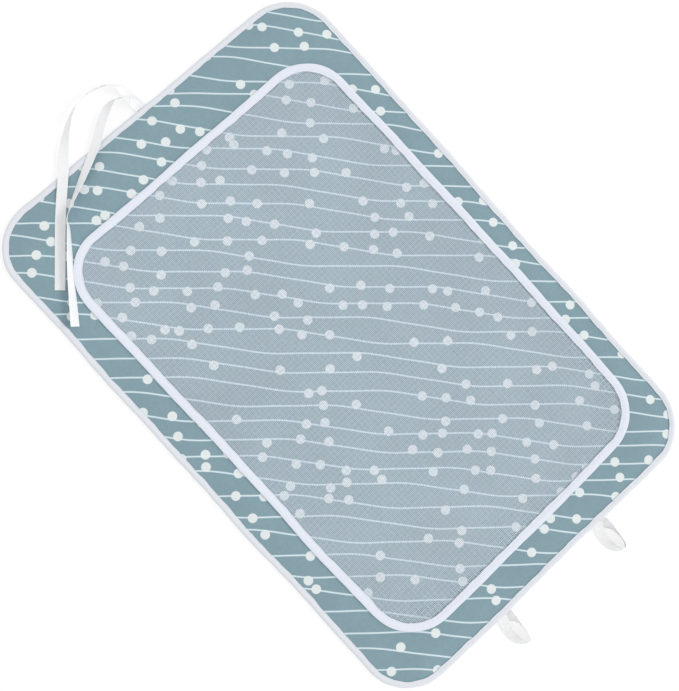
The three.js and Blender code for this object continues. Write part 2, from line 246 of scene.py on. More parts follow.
# %% Sizes
pad_low, pad_high = (np.array(corner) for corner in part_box("pad_binding"))
PAD_LENGTH, PAD_WIDTH, RIM_HEIGHT = pad_high - pad_low
PAD_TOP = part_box("printed_cover")[1].z
PAD_OUTLINE = (PAD_LENGTH, PAD_WIDTH, 60 * MM)
PAD_TAPE_WIDTH = 7.5 * MM
PAD_TAPE_WALL = 0.8 * MM
CROWN_RUN = 20 * MM
LAYER_GAP = 0.1 * MM

cloth_low, cloth_high = (np.array(corner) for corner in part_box("cloth_binding"))
CLOTH_FLOOR = cloth_low[2]
CLOTH_HEIGHT = cloth_high[2] - cloth_low[2]
CLOTH_LENGTH = 600 * MM
CLOTH_WIDTH = 400 * MM
CLOTH_RADIUS = 60 * MM
CLOTH_OUTLINE = (CLOTH_LENGTH, CLOTH_WIDTH, CLOTH_RADIUS)
CLOTH_SHIFT = (cloth_low[:2] + cloth_high[:2]) / 2
CLOTH_TURN = math.radians(0.79)
CLOTH_TAPE_WIDTH = 10.1 * MM
CLOTH_TAPE_WALL = 0.7 * MM

SEAM_MARGIN = 1.8 * MM
STITCH = 3 * MM
print("pad", PAD_LENGTH, PAD_WIDTH, "rim", RIM_HEIGHT, "top", PAD_TOP)
print("cloth lies at", CLOTH_SHIFT)

# %% [markdown]
# ## From arrays to meshes
#
# Every piece is worked out as an array of points with numpy and handed to Blender in one go. All
# pieces here are tubes of some kind: rings of points, one after another, and each ring closes on
# itself. A tape comes back to its first ring, and a sheet, a ribbon or a thread is closed with
# flat ends.

# %% Rings


def ring_faces(rings, count, closed=False):
    """The four-cornered faces of rings of count points, the last joined to the first if closed.

    Each face takes a point, its neighbour on the ring, and the same two on the next ring."""
    ring = np.arange(rings if closed else rings - 1)[:, None]
    point = np.arange(count)[None, :]
    next_ring, next_point = (ring + 1) % rings, (point + 1) % count
    faces = [ring * count + point, ring * count + next_point]
    faces += [next_ring * count + next_point, next_ring * count + point]
    return np.stack([np.broadcast_to(f, (ring.size, count)) for f in faces], -1).reshape(-1, 4)


def closed_tube(rings, end):
    """The faces of a tube with both ends closed; end has the faces that close its first ring."""
    count = end.max() + 1
    last = (rings - 1) * count
    return np.concatenate([ring_faces(rings, count), end, end[:, ::-1] + last])


def flat_tube(rings, count):
    """The faces of a flat tube, whose rings run there on the top and back underneath."""
    left = np.arange(count // 2 - 1)
    return closed_tube(rings, np.stack([left, left + 1, count - 2 - left, count - 1 - left], -1))


def many_tubes(tubes, rings, end):
    """The faces of many equal tubes whose points follow one another."""
    tube = closed_tube(rings, np.array(end))
    return (np.arange(tubes)[:, None, None] * (tube.max() + 1) + tube).reshape(-1, 4)


def new_piece(name, points, faces, material, place=None, smooth=True):
    """A mesh object from points and four-cornered faces, right side out.

    The faces are turned over if the volume inside them comes out negative. place, if given, holds
    where each point is on the flat cloth, in metres along and across, and is kept as the
    attribute cloth_place for the material."""
    points = points.reshape(-1, 3)
    a, b, c, d = (points[faces[:, k]] for k in range(4))
    if (a * (np.cross(b, c) + np.cross(c, d))).sum() < 0:
        faces = faces[:, [0, 3, 2, 1]]
    mesh = bpy.data.meshes.new(name)
    mesh.vertices.add(len(points))
    mesh.vertices.foreach_set("co", points.astype(np.float32).ravel())
    mesh.loops.add(faces.size)
    mesh.loops.foreach_set("vertex_index", faces.astype(np.int32).ravel())
    mesh.polygons.add(len(faces))
    mesh.polygons.foreach_set("loop_start", np.arange(0, faces.size, 4, dtype=np.int32))
    mesh.polygons.foreach_set("use_smooth", np.full(len(faces), smooth))
    mesh.update(calc_edges=True)
    if place is not None:
        flat = np.pad(place.reshape(-1, 2), ((0, 0), (0, 1)))
        held = mesh.attributes.new("cloth_place", "FLOAT_VECTOR", "POINT")
        held.data.foreach_set("vector", flat.astype(np.float32).ravel())
    mesh.materials.append(material)
    piece = bpy.data.objects.new(name, mesh)
    scene.collection.objects.link(piece)
    print(name, len(faces), "faces")
    return piece


def fitted(piece, node, body):
    """Puts the piece in the place of a node of the frame, which it hides, and on its body."""
    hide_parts(node)
    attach(piece, body)
    return piece


# %% [markdown]
# ## The outline of a mat
#
# Pad and cloth are both rectangles with round corners. One function walks round such an outline
# and gives the point and the outward direction at any share of the way, so that tapes, stitches
# and the edges of all layers follow the same line. Sewn edges are never quite straight, so three
# small movements shift everything that lies at the same place by the same amount: a slow waver,
# short lumps, and pulls, which draw the outline out or in at sixteen places, as on this mat.

# %% Outline and waver
WAVER = 1.1 * MM
CLOTH_WAVER = 0.8 * MM
WAVER_RUN = (0.10, 0.26)
LUMP = 0.28 * MM
LUMP_RUN = (0.018, 0.045)
WAVES = 5
WAVES_AT_ONCE = 2.4
PULL_REACH = 65 * MM
PAD_PULLS = (0.5, 0.5, 0.5, -0.2, -0.4, -0.7, -1.0, -3.6, -1.4, -1.2, -1.0, -0.1, -0.9, -0.3, -1.6, -1.0)
CLOTH_PULLS = (0.1, -0.3, -0.6, -2.9, -0.1, 0.4, 0.8, -0.4, -1.7, -0.6, -0.2, 1.2, 1.0, 0.6, 3.3, 0.0)


def outline_runs(length, width, radius):
    """The four straight sides, and how far round each of them starts; the last is the way round.

    After each side comes a quarter of a circle."""
    side = np.array([width, length, width, length]) - 2 * radius
    return side, np.concatenate([[0], np.cumsum(side + radius * math.pi / 2)])


def outline_length(outline):
    """The way round the outline."""
    return float(outline_runs(*outline)[1][-1])


def round_rectangle(shares, length, width, radius):
    """Points and outward directions at shares of the way round a rectangle with round corners.

    A share is turned into a length along the outline; the run and the bend that it has used up
    give the centre and the direction, and the point lies one radius out from that centre."""
    side, starts = outline_runs(length, width, radius)
    place = np.mod(shares, 1) * starts[-1]
    k = np.clip(np.searchsorted(starts, place, side="right") - 1, 0, 3)
    past = place - starts[k]
    run = np.minimum(past, side[k])
    bend = np.maximum(past - side[k], 0) / radius
    face = k * math.pi / 2
    out = np.stack([np.cos(face + bend), np.sin(face + bend)], -1)
    corner = np.array([[1, 1], [-1, 1], [-1, -1], [1, -1]]) * (np.array([length, width]) / 2 - radius)
    along = np.stack([-np.sin(face), np.cos(face)], -1)
    return corner[k] - along * (side[k] - run)[:, None] + radius * out, out


def bearing(angle):
    """The direction in the plane at an angle from +X."""
    return np.array([math.cos(angle), math.sin(angle)])


def wave(flat, length, angle, phase):
    """A sine that runs over the plane at an angle."""
    return np.sin(flat @ bearing(angle) * 2 * math.pi / length + phase)


def wavered(flat, size, seed, shortest, longest):
    """Moves points in the plane by a sum of waves in all directions, at most about size."""
    draw = np.random.default_rng(seed)
    moved = flat.copy()
    for _ in range(WAVES):
        length = draw.uniform(shortest, longest)
        angle, push, phase = draw.uniform(0, 2 * math.pi, 3)
        moved += wave(flat, length, angle, phase)[..., None] * bearing(push) * size / WAVES_AT_ONCE
    return moved


def pulled_outline(outline, pulls):
    """A function that moves points as far as the outline is pulled out or in beside them.

    Each side has three pulls, and each corner after it has one, anticlockwise from the +X side.
    Every pull is a bell round its place on the outline, and the bells' strengths are solved so
    that together they give each place its own pull; they fade within a hand's breadth inwards."""
    side, starts = outline_runs(*outline)
    corner = outline[2] * math.pi / 4
    stops = [
        start + past
        for start, run in zip(starts, side)
        for past in (run / 6, run / 2, run * 5 / 6, run + corner)
    ]
    seats, out = round_rectangle(np.array(stops) / starts[-1], *outline)

    def bells(points):
        gap = points[..., None, :] - seats
        return np.exp(-(gap**2).sum(-1) / (2 * PULL_REACH**2))

    strengths = np.linalg.solve(bells(seats), out * np.array(pulls)[:, None] * MM)
    return lambda flat: bells(flat) @ strengths


pad_pull = pulled_outline(PAD_OUTLINE, PAD_PULLS)
cloth_pull = pulled_outline(CLOTH_OUTLINE, CLOTH_PULLS)


def pad_waver(flat):
    """The pad's own three movements, shared by all its layers."""
    return wavered(wavered(flat, WAVER, 11, *WAVER_RUN), LUMP, 37, *LUMP_RUN) + pad_pull(flat)


def laid(flat):
    """Turns points with the cloth and shifts them to where it lies."""
    cosine, sine = bearing(CLOTH_TURN)
    return flat @ np.array([[cosine, sine], [-sine, cosine]]) + CLOTH_SHIFT


def cloth_to_pad(flat):
    """From the cloth's own plane to the pad's: its three movements, then the turn and the shift."""
    slow = wavered(flat, CLOTH_WAVER, 23, *WAVER_RUN)
    return laid(wavered(slow, LUMP, 43, *LUMP_RUN) + cloth_pull(flat))


def raised(plan, height):
    """Points in the plane with their heights beside them."""
    height = np.broadcast_to(height, plan.shape[:-1])
    return np.concatenate([plan, height[..., None]], -1)


def inset_of(flat, length, width, radius):
    """How far a point lies inside the outline: the distance to a rounded box, with its sign."""
    past = np.abs(flat) - (np.array([length, width]) / 2 - radius)
    outside = np.linalg.norm(np.maximum(past, 0), axis=-1)
    return radius - outside - np.minimum(past.max(-1), 0)


print("way round the pad", round(outline_length(PAD_OUTLINE), 3))

# %% [markdown]
# ## Weave and other shared effects
#
# All the cloths here are woven, only finer or coarser, so the weave is one node group with its
# thread pitch as an input. It makes rows of small bumps where threads pass over and under, and a
# slight unevenness from thread to thread. A second group gives the soft mottling that real dyed
# cloth has.

# %% Shared groups
SLUB_GRAIN = 900
SLUB_SHARE = 0.5
MOTTLE_GRAINS = (14, 240)
# painted shade of the weave: the colour's factor in the hollows between threads and on their crests
WEAVE_PAINTED_SHADE = (0.955, 1.015)
WOVEN_DEPTH = 0.06 * MM


def new_group(name, inputs, outputs):
    """A node group, its inputs as signals and its output sockets, named in two lists of words."""
    group = bpy.data.node_groups.new(name, "ShaderNodeTree")
    for way, words in (("INPUT", inputs), ("OUTPUT", outputs)):
        for word in words.split():
            kind = "NodeSocketVector" if word == "Vector" else "NodeSocketFloat"
            group.interface.new_socket(word, in_out=way, socket_type=kind)
    source = group.nodes.new("NodeGroupInput").outputs
    sink = group.nodes.new("NodeGroupOutput").inputs
    return group, [Signal(source[word]) for word in inputs.split()], sink


def placed(tree, group, **inputs):
    """Places a group in a tree with its own values; returns all its outputs."""
    node = tree.nodes.new("ShaderNodeGroup")
    node.node_tree = group
    for name, value in inputs.items():
        feed(node.inputs[name], value)
    return [Signal(socket) for socket in node.outputs]


def noise(vector, scale, detail):
    """A noise from 0 to 1 at a scale in features per metre."""
    inputs = {"Vector": vector, "Scale": scale, "Detail": detail}
    return wire(vector.tree, "ShaderNodeTexNoise", "Fac", inputs)


def mixed(share, first, second):
    """One colour mixed into another by a share from 0 to 1."""
    inputs = {"Factor": share, "A": first, "B": second}
    return wire(share.tree, "ShaderNodeMix", "Result", inputs, data_type="RGBA")


def shaded(colour, shade):
    """A colour made lighter or darker by a shade around 1."""
    plain = colour if isinstance(colour, Signal) else colour[:3]
    return wire(shade.tree, "ShaderNodeVectorMath", 0, {0: plain, "Scale": shade}, operation="SCALE")


def along_across(vector):
    """The first two parts of a place on a cloth."""
    return [wire(vector.tree, "ShaderNodeSeparateXYZ", axis, {0: vector}) for axis in "XY"]


def object_place(tree):
    """The Object coordinate, in metres, because every piece's object sits at the origin."""
    return wire(tree, "ShaderNodeTexCoord", "Object")


def cloth_place(tree):
    """Where a point is on the flat cloth, from the piece's own attribute."""
    return wire(tree, "ShaderNodeAttribute", "Vector", attribute_name="cloth_place")


def turned(vector, degrees):
    """A pattern's coordinates turned about the vertical through the origin."""
    inputs = {"Vector": vector, "Rotation": (0, 0, -math.radians(degrees))}
    return wire(vector.tree, "ShaderNodeMapping", "Vector", inputs)


def bump(height, depth):
    """A normal for a surface that is raised by height times depth, in metres."""
    return wire(height.tree, "ShaderNodeBump", "Normal", {"Distance": depth, "Height": height})


def make_weave():
    """Plain weave: height is the product of two sines, one along each set of threads."""
    group, (vector, pitch), sink = new_group("plain weave", "Vector Pitch", "Height Unevenness")
    turns = maths("DIVIDE", math.pi, pitch)
    warp, weft = (maths("SINE", axis * turns) for axis in along_across(vector))
    slub = noise(vector, SLUB_GRAIN, 3)
    feed(sink["Height"], between(warp * weft, 0.5, 1) + slub * SLUB_SHARE)
    feed(sink["Unevenness"], slub)
    return group


def make_mottle():
    """Mottling: a broad noise and a finer one, added, as a shade around 1."""
    group, (vector, amount), sink = new_group("dye mottle", "Vector Amount", "Shade")
    broad, fine = MOTTLE_GRAINS
    both = noise(vector, broad, 3) + noise(vector, fine, 2) - 1
    feed(sink["Shade"], both * amount + 1)
    return group


WEAVE = make_weave()
MOTTLE = make_mottle()


def woven_material(name, colour, pitch, place, turn=0, mottle=0.06):
    """A plain woven cloth: its colour mottled, its threads raised, and a soft sheen at the rim."""
    material, tree = new_material(name)
    vector = turned(place(tree), turn)
    height, _ = placed(tree, WEAVE, Vector=vector, Pitch=pitch)
    (shade,) = placed(tree, MOTTLE, Vector=vector, Amount=mottle)
    # painted shade: the colour is darker in the hollows between the threads and lighter where they stand high
    colour = shaded(colour, shade * between(height, *WEAVE_PAINTED_SHADE))
    return finished(
        material, colour, Normal=bump(height, WOVEN_DEPTH),
        Roughness=0.85, Specular_IOR_Level=0.25, Sheen_Weight=0.15,
    )


print("groups:", [group.name for group in bpy.data.node_groups])

# %% [markdown]
# ## The print
#
# The cover is dyed a greyed teal and printed with thin pale lines and off-white dots. Each line
# runs level for a stretch and then slopes gently, and the dots sit on the lines or just beside
# them. The print could be a picture, but a formula stays sharp at any size. One group draws one
# row: a slow three-cornered wave gives the line, and a random number for each stretch of the row
# says whether there is a dot, and where. The three nearest rows are drawn, because a dot can
# reach past its own row.

# %% The print
PRINT_BEARING = 44.0
ROW_SPACING = 21 * MM
WAVE_LENGTH = 225 * MM
WAVE_RISE = 3.7 * MM
LINE_WIDTH = 1.85 * MM
DOT_STRETCH = 34 * MM
DOT_RADIUS = 5.5 * MM
DOT_ASIDE = 4.6 * MM
DOT_SHARE = 0.56
DOT_CROWDING = 0.5
INK_EDGE = 0.5 * MM
COVER_DYE = linear(131, 157, 167)
LINE_INK = linear(212, 229, 234)
DOT_INK = linear(226, 232, 232)
INK_WEAR = (1.04, 0.88)
COVER_PITCH = 0.42 * MM
# painted shade of the cover's weave, from its hollows to its crests
COVER_WEAVE_PAINTED_SHADE = (0.962, 1.012)
COVER_DEPTH = 0.05 * MM


def make_wave():
    """A printed line: a sine less a ninth of its third harmonic, which makes its runs straight."""
    group, (along, phase), sink = new_group("line wave", "Along Phase", "Rise")
    turn = along * (2 * math.pi / WAVE_LENGTH) + phase
    shape = maths("SINE", turn) - maths("SINE", turn * 3) / 9
    feed(sink["Rise"], shape * WAVE_RISE)
    return group


def inside_edge(room):
    """1 where there is room left inside an inked shape, 0 outside it, soft over the ink's edge."""
    return maths("MULTIPLY_ADD", room, 1 / INK_EDGE, 0.5, clamp=True)


def make_row(wave):
    """One printed row: the line, and the dot of the stretch that the point lies in.

    The row's own random number shifts its wave and makes it rich or poor in dots. Three more for
    each stretch say how far along and aside its dot lies, and whether it is there at all."""
    group, (along, across, row), sink = new_group("printed row", "Along Across Row", "Line Dot")
    luck = wire(group, "ShaderNodeTexWhiteNoise", "Value", {"W": row}, noise_dimensions="1D")
    phase = luck * (2 * math.pi)
    middle = row * ROW_SPACING
    (rise,) = placed(group, wave, Along=along, Phase=phase)
    feed(sink["Line"], inside_edge(LINE_WIDTH / 2 - abs(across - (middle + rise))))

    stretch = maths("FLOOR", along / DOT_STRETCH)
    cell = wire(group, "ShaderNodeCombineXYZ", 0, {"X": stretch, "Y": row})
    dice = wire(group, "ShaderNodeTexWhiteNoise", "Color", {"Vector": cell}, noise_dimensions="3D")
    slide, aside, chance = (
        wire(group, "ShaderNodeSeparateColor", name, {0: dice}) for name in ("Red", "Green", "Blue")
    )
    dot_along = (stretch + 0.5) * DOT_STRETCH + (slide - 0.5) * (DOT_STRETCH - 2 * DOT_RADIUS)
    (dot_rise,) = placed(group, wave, Along=dot_along, Phase=phase)
    off_along = along - dot_along
    off_across = across - (middle + dot_rise + (aside - 0.5) * (2 * DOT_ASIDE))
    reach = maths("SQRT", off_along * off_along + off_across * off_across)
    there = maths("LESS_THAN", chance, (luck - 0.5) * DOT_CROWDING + DOT_SHARE)
    feed(sink["Dot"], inside_edge(DOT_RADIUS - reach) * there)
    return group


def printed_cotton():
    """The cover's finish: the dye, then the lines, then the dots, all on a fine plain weave."""
    material, tree = new_material("printed cotton")
    place = object_place(tree)
    along, across = along_across(turned(place, PRINT_BEARING))
    nearest = maths("ROUND", across / ROW_SPACING)
    row = make_row(make_wave())
    rows = [placed(tree, row, Along=along, Across=across, Row=nearest + k) for k in (-1, 0, 1)]
    line, dot = (largest(*marks) for marks in zip(*rows))
    height, slub = placed(tree, WEAVE, Vector=place, Pitch=COVER_PITCH)
    (shade,) = placed(tree, MOTTLE, Vector=place, Amount=0.16)
    wear = between(slub, *INK_WEAR, clamp=True)
    lined = mixed(line * wear, shaded(COVER_DYE, shade), LINE_INK)
    dotted = mixed(dot * wear, lined, DOT_INK)
    # painted shade: in the colour the weave's hollows are darker and the threads' crests lighter
    return finished(
        material, shaded(dotted, between(height, *COVER_WEAVE_PAINTED_SHADE)), Normal=bump(height, COVER_DEPTH),
        Roughness=0.82, Specular_IOR_Level=0.25, Sheen_Weight=0.08,
    )


COVER_MATERIAL = printed_cotton()
print("rows of print across the pad:", round(PAD_WIDTH / ROW_SPACING))

# %% [markdown]
# ## The layers of the pad
#
# Each layer is one sheet, thin where the tape grips it and full in the middle, and the wadding's
# spring gives the pad its low crown. A layer is a grid whose rows shorten in the round corners,
# raised by how far each point lies inside the outline. The soft rise of the crown is a smooth
# step. The two faint fold lines that storage leaves across the pad are shallow valleys. The pad
# could be swollen by a cloth simulation, but it is only six millimetres high, and the formula
# keeps its layers clear of each other.

# %% Heights of the layers
PRESSED_SHARE = 0.35
LAYERS = [
    ("backing_cloth", 0.5 * MM, 1),
    ("foam_sheet", 1.5 * MM, PRESSED_SHARE),
    ("heat_barrier_film", 0.2 * MM, 1),
    ("cotton_wadding", 3.0 * MM, PRESSED_SHARE),
    ("printed_cover", 0.4 * MM, 1),
]
CORNER_SHARE = 0.15
FOLD_PLACES = (-0.2425, 0.0675)
FOLD_DEPTH = 0.35 * MM
FOLD_SPREAD = 2.2 * MM
SWELL = 0.18 * MM
SWELL_RUN = (0.07, 0.2)
SWELL_WAVES = 9


def stacked(layers):
    """For each layer its floor and top, first at the rim and then in the middle of the pad."""
    heights, rim, middle = {}, PAD_TAPE_WALL + LAYER_GAP, 0.0
    for node, thickness, share in layers:
        heights[node] = (rim, rim + thickness * share, middle, middle + thickness)
        rim += thickness * share + LAYER_GAP
        middle += thickness + LAYER_GAP
    return heights


def flat_grid(rows, columns, length, width, radius, inset):
    """A flat grid over the outline drawn in by inset: rows at heights y, shortened in the corners.

    The corner rows are spaced as the sine of an angle, so that the round edge is even."""
    r = radius - inset
    corner_rows = round(rows * CORNER_SHARE)
    angle = np.linspace(math.pi / 2, 0, corner_rows, endpoint=False)
    high = width / 2 - radius + r * np.sin(angle)
    middle = np.linspace(width / 2 - radius, radius - width / 2, rows - 2 * corner_rows)
    y = np.concatenate([high, middle, -high[::-1]])
    past = np.maximum(np.abs(y) - (width / 2 - radius), 0)
    reach = length / 2 - radius + np.sqrt(np.maximum(r * r - past * past, 0))
    x = np.linspace(-1, 1, columns)[None, :] * reach[:, None]
    return np.stack([x, np.broadcast_to(y[:, None], x.shape)], -1)


def smooth_step(t):
    """0 before 0, 1 after 1, and an even curve between them."""
    t = np.clip(t, 0, 1)
    return t * t * (3 - 2 * t)


def undulation(flat, seed, size, shortest, longest):
    """A gentle unevenness: a sum of waves with random lengths, bearings and phases."""
    draw = np.random.default_rng(seed)
    total = np.zeros(flat.shape[:-1])
    for _ in range(SWELL_WAVES):
        length = draw.uniform(shortest, longest)
        angle, phase = draw.uniform(0, 2 * math.pi, 2)
        total += wave(flat, length, angle, phase)
    return total * size / math.sqrt(SWELL_WAVES)


def layer_height(flat, rim, middle):
    """From the rim's height to the middle's over the crown's run, less the folds, plus the swell."""
    full = smooth_step((inset_of(flat, *PAD_OUTLINE) - PAD_TAPE_WIDTH) / CROWN_RUN)
    soft = full * middle / PAD_TOP
    height = rim + (middle - rim) * full + soft * undulation(flat, 5, SWELL, *SWELL_RUN)
    for place in FOLD_PLACES:
        height -= soft * FOLD_DEPTH * np.exp(-(((flat[..., 0] - place) / FOLD_SPREAD) ** 2))
    return height


def pad_layer(name, node, slot, rows, columns, material):
    """One closed layer: each row of the grid runs along its upper face and back along the lower."""
    rim_floor, rim_top, middle_floor, middle_top = HEIGHTS[node]
    flat = flat_grid(rows, columns, *PAD_OUTLINE, RIM_HEIGHT / 2 + LAYER_GAP)
    plan = pad_waver(flat)
    upper = raised(plan, layer_height(flat, rim_top, middle_top))
    lower = raised(plan, layer_height(flat, rim_floor, middle_floor))
    rings = np.concatenate([upper, lower[:, ::-1]], 1)
    piece = new_piece(name, rings, flat_tube(rows, 2 * columns), material)
    return fitted(piece, node, "pad")


HEIGHTS = stacked(LAYERS)
print("tops in the middle, mm:", [round(heights[3] / MM, 2) for heights in HEIGHTS.values()])

# %% [markdown]
# The cover shows, so its grid is fine. The layers under it only show where the pad is cut open,
# and they still get their own finishes: needled wadding, a bright film, foam with its pores, and
# a pale lining on the underside.

# %% Build the layers
FINE = (150, 224)
COARSE = (64, 96)
FELT_SHADES = (0.88, 1.1)
CRINKLE_GRAIN = 60
FILM_SHADES = (0.93, 1.03)
FILM_ROUGHNESS = (0.18, 0.38)
FILM_DEPTH = 0.4 * MM


def fibrous(name, colour, grain, detail, shades, depth, **plain):
    """A material of fibres: a fine noise shades the colour between two shades and is its bump."""
    material, tree = new_material(name)
    fibres = noise(object_place(tree), grain, detail)
    colour = shaded(colour, between(fibres, *shades))
    return finished(material, colour, Normal=bump(fibres, depth), **plain)


def felted(name, colour, grain, depth):
    """A soft unwoven material, quite matt."""
    plain = {"Roughness": 0.95, "Specular_IOR_Level": 0.2}
    return fibrous(name, colour, grain, 4, FELT_SHADES, depth, **plain)


def crinkled_film():
    """The heat barrier: a bright metal film, crinkled by a noise that also varies its gloss."""
    material, tree = new_material("barrier film")
    crinkle = noise(object_place(tree), CRINKLE_GRAIN, 5)
    return finished(
        material, shaded(linear(226, 228, 232), between(crinkle, *FILM_SHADES)), Metallic=1.0,
        Roughness=between(crinkle, *FILM_ROUGHNESS), Normal=bump(crinkle, FILM_DEPTH),
    )


LINING = woven_material("backing lining", linear(208, 211, 214), 0.5 * MM, object_place, mottle=0.05)
FOAM = felted("foam", linear(240, 234, 212), 1100, 0.3 * MM)
WADDING = felted("wadding", linear(244, 243, 238), 500, 0.5 * MM)

backing = pad_layer("backing_lining", "backing_cloth", "backing", *FINE, LINING)
foam = pad_layer("foam_layer", "foam_sheet", "foam", *COARSE, FOAM)
film = pad_layer("barrier_film_layer", "heat_barrier_film", "barrier_film", *COARSE, crinkled_film())
wadding = pad_layer("wadding_layer", "cotton_wadding", "wadding", *COARSE, WADDING)
cover = pad_layer("printed_cotton_cover", "printed_cover", "printed_cotton", *FINE, COVER_MATERIAL)

# %% [markdown]
# ## The tapes
#
# The edge of the pad and the edge of the cloth are each held in a tape cut on the bias, folded
# round the edge and stitched through. Its section is a long flat hook: up and over the fold and
# back. The stitching pulls a fine channel into it, so the fold puffs up outside that channel, and
# a narrow lip stands up inside it. Between two stitches the channel rises a little. The section
# is carried round the outline, with four steps to a stitch.

# %% Tape
STEPS_PER_STITCH = 4
FOLD_POINTS = 7
CHANNEL_POINTS = np.array([1, 0.5, 0, -0.5, -1])
CHANNEL_DEPTH = 0.42 * MM
CHANNEL_SPREAD = 0.75 * MM
CHANNEL_BELL = 0.6 * MM
CHANNEL_EASE = 0.38
UNDER_SHARE = 0.8
LIP_RISE = 0.12 * MM
PUFF = 0.22 * MM
PUFF_CHANGE = 0.5
PUFF_RUNS = (31 * MM, 17.3 * MM)
RIPPLE = 0.05 * MM
RIPPLE_RUN = 7 * MM
EDGE_WANDER = 0.35 * MM
WANDER_RUNS = (7.1 * MM, 3.3 * MM)
BIAS = 45
TAPE_PITCH = 0.36 * MM

PAD_EDGE = SimpleNamespace(
    body="pad", outline=PAD_OUTLINE, tape=PAD_TAPE_WIDTH, wall=PAD_TAPE_WALL,
    height=RIM_HEIGHT, floor=pad_low[2], moved=pad_waver,
)
CLOTH_EDGE = SimpleNamespace(
    body="pressing_cloth", outline=CLOTH_OUTLINE, tape=CLOTH_TAPE_WIDTH, wall=CLOTH_TAPE_WALL,
    height=CLOTH_HEIGHT, floor=CLOTH_FLOOR, moved=cloth_to_pad,
)
for edge in (PAD_EDGE, CLOTH_EDGE):
    edge.length = outline_length(edge.outline)
    edge.stitches = round(edge.length / STITCH)
    edge.seam = edge.tape - SEAM_MARGIN
    print(edge.body, "has", edge.stitches, "stitches of", round(edge.length / edge.stitches / MM, 2), "mm")


def tape_section(edge):
    """The closed section, as insets and heights.

    The outer line runs along the bottom, round a half circle and back along the top. The inner
    line is the same one, one wall further in."""
    fold, seam, wall = edge.height / 2, edge.seam, edge.wall
    channel = seam + CHANNEL_POINTS * CHANNEL_SPREAD
    stops = np.array([edge.tape, *channel, (seam + fold) / 2])
    run = stops[stops > fold]
    angle = np.linspace(-math.pi / 2, math.pi / 2, FOLD_POINTS)
    outer_fold = fold * np.stack([1 - np.cos(angle), 1 + np.sin(angle)], -1)
    inner_fold = fold + np.stack([-np.cos(angle[::-2]), np.sin(angle[::-2])], -1) * (fold - wall)
    return np.concatenate([
        np.stack([run, np.zeros(run.size)], -1),
        outer_fold,
        np.stack([run[::-1], np.full(run.size, edge.height)], -1),
        [[edge.tape + wall / 4, edge.height - wall / 2]],
        [[edge.tape, edge.height - wall], [seam, edge.height - wall]],
        inner_fold,
        [[seam, wall], [edge.tape, wall]],
        [[edge.tape + wall / 4, wall / 2]],
    ])


def pressed(insets, heights, along, edge):
    """How far the stitching and the fold's fullness move the section up or down at each place.

    The channel is a bell over the seam line, deepest where a stitch pulls; outside it the fold
    puffs up as half a sine, and a slow wave changes the puff along the tape."""
    pull = 1 - CHANNEL_EASE + CHANNEL_EASE * np.cos(2 * math.pi * along / STITCH)
    channel = CHANNEL_DEPTH * np.exp(-(((insets - edge.seam) / CHANNEL_BELL) ** 2)) * pull
    across = np.clip((insets - edge.height / 2) / (edge.seam - edge.height / 2), 0, 1)
    slow = 1 + PUFF_CHANGE * np.sin(along / PUFF_RUNS[0]) * np.sin(along / PUFF_RUNS[1] + 1)
    ripple = RIPPLE * np.sin(2 * math.pi * (along / STITCH / 2 + insets / RIPPLE_RUN))
    puff = (PUFF * slow + ripple) * np.sin(math.pi * across)
    lip = LIP_RISE * np.clip((insets - edge.seam) / SEAM_MARGIN, 0, 1)
    side = np.clip(2 * heights / edge.height - 1, -1, 1)
    return np.where(side > 0, side * (puff + lip - channel), -side * channel * UNDER_SHARE)


def tape(name, node, slot, edge, colour):
    """The section carried round the outline: inset turns into a place, height stays."""
    rows = edge.stitches * STEPS_PER_STITCH
    shares = np.arange(rows) / rows
    points, out = round_rectangle(shares, *edge.outline)
    section = tape_section(edge)
    insets = np.broadcast_to(section[:, 0], (rows, len(section)))
    heights = np.broadcast_to(section[:, 1], insets.shape)
    along = (shares * edge.length)[:, None]
    wander = np.sin(along / WANDER_RUNS[0] + 2) + np.sin(along / WANDER_RUNS[1])
    inner_edge = np.clip(insets / edge.tape, 0, 1) ** 4
    plan = points[:, None] - out[:, None] * (insets + EDGE_WANDER * inner_edge * wander / 2)[..., None]
    z = np.maximum(heights + pressed(insets, heights, along, edge), 0) + edge.floor
    steps = np.linalg.norm(np.diff(section, axis=0, prepend=section[:1]), axis=1).cumsum()
    place = np.stack(np.broadcast_arrays(along, steps[None, :]), -1)
    material = woven_material(slot.replace("_", " "), colour, TAPE_PITCH, cloth_place, turn=BIAS)
    faces = ring_faces(rows, len(section), closed=True)
    piece = new_piece(name, raised(edge.moved(plan), z), faces, material, place)
    return fitted(piece, node, edge.body)


tape("pad_bias_tape", "pad_binding", "pad_tape", PAD_EDGE, linear(222, 226, 232))
cloth_tape = tape("cloth_bias_tape", "cloth_binding", "cloth_tape", CLOTH_EDGE, linear(225, 230, 240))

# %% [markdown]
# ## The stitches
#
# A seam is a row of small stitches, and there are more than a thousand of them in all, so each is
# a plain little form: five rings of six points, thick in the middle, with both ends dipping into
# the tape. One set of rings is worked out, and then laid at every place along the seam at once.

# %% Stitches
STITCH_SHARE = 0.78
STITCH_RINGS = 5
THREAD_SIDES = 6
THREAD_RADIUS = 0.2 * MM
THREAD_END_SHARE = 0.55
END_DIP = 0.34 * MM
SUNK_SHARE = 0.55
THREAD_END = [[0, 1, 2, 3], [0, 3, 4, 5]]
THREAD_GRAIN = 4000
THREAD_SHADES = (0.9, 1.06)
THREAD_DEPTH = 0.05 * MM
THREAD = fibrous(
    "sewing thread", linear(240, 240, 248), THREAD_GRAIN, 2, THREAD_SHADES, THREAD_DEPTH, Roughness=0.6
)


